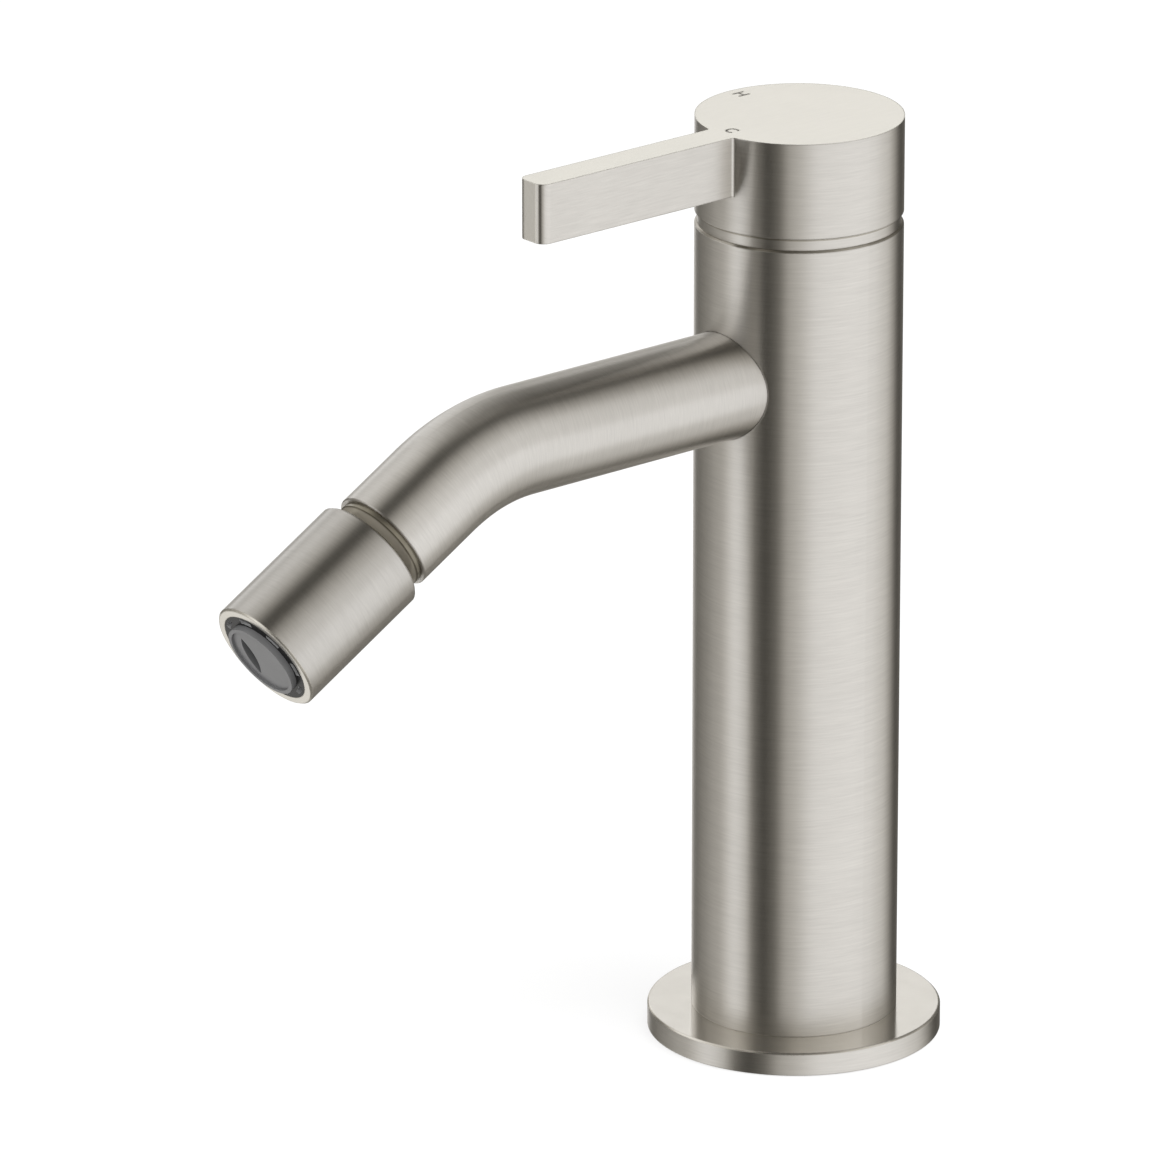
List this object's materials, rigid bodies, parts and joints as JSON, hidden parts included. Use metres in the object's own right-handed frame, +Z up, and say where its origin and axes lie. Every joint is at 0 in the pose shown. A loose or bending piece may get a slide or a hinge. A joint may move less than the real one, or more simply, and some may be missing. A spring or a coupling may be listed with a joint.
{
  "type": "bidet mixer",
  "caption": "Single-lever bidet mixer: slim round column on a base flange, bent round spout with a swivelling nozzle, flat bar lever on a round head.",
  "frame": {"origin": "centre of the foot's underside, on the surface that the mixer stands on", "axes": "+Z up along the column's axis; the spout and the closed lever point towards -Y; hot inlet at -X, cold inlet at +X"},
  "size_m": [0.05, 0.1446, 0.162],
  "materials": {
    "brushed_nickel": "fine brushed nickel plate over brass",
    "polished_nickel": "polished nickel plate over brass",
    "brass": "machined, bare",
    "steel": "bright stainless",
    "ceramic": "lapped alumina ceramic",
    "white_plastic": "moulded",
    "grey_plastic": "moulded, satin",
    "black_plastic": "moulded, satin",
    "rubber": "moulded"
  },
  "bodies": {
    "mixer": {"body": "brushed_nickel", "base_flange": "brushed_nickel", "base_seal": "rubber", "cartridge_base": "white_plastic", "port_seals": "rubber", "lower_ceramic_disc": "ceramic", "cartridge_housing": "white_plastic", "cartridge_nut": "brass", "trim_ring": "brushed_nickel", "glide_ring": "white_plastic", "spout_tube": "brushed_nickel", "spout_union": "brass", "spout_root_seal": "rubber", "outlet_bush": "brass", "stud_gasket": "rubber"},
    "lever_handle": {"upper_ceramic_disc": "ceramic", "disc_carrier": "white_plastic", "spindle": "brass", "spindle_seals": "rubber", "thrust_washer": "white_plastic", "spline_adapter": "white_plastic", "handle": "brushed_nickel", "grub_screw": "steel", "grub_cap": "grey_plastic"},
    "swivel_stud": {"ball_stud": "polished_nickel"},
    "ball_seats": {"rear_ball_seat": "white_plastic", "ball_seal": "rubber", "front_ball_seat": "white_plastic"},
    "nozzle": {"nozzle_sleeve": "brushed_nickel", "seat_retainer": "brass", "aerator_washer": "rubber", "aerator_housing": "black_plastic", "flow_regulator": "white_plastic", "aerator_mesh": "steel", "aerator_insert": "grey_plastic", "aerator_key_ring": "black_plastic"}
  },
  "joints": [
    {"name": "handle_turn", "type": "hinge", "parent": "mixer", "child": "lever_handle", "pos_m": [0, 0, 0.1536], "axis": [0, 0, 1], "range_deg": [-90, 0]},
    {"name": "nozzle_direction", "type": "hinge", "parent": "mixer", "child": "swivel_stud", "pos_m": [0, -0.09962, 0.1014], "axis": [0, -0.866, -0.5], "continuous": true},
    {"name": "nozzle_tilt", "type": "hinge", "parent": "swivel_stud", "child": "ball_seats", "pos_m": [0, -0.09962, 0.1014], "axis": [1, 0, 0], "range_deg": [-9, 9]},
    {"name": "nozzle_spin", "type": "hinge", "parent": "ball_seats", "child": "nozzle", "pos_m": [0, -0.09962, 0.1014], "axis": [0, -0.866, -0.5], "continuous": true}
  ]
}
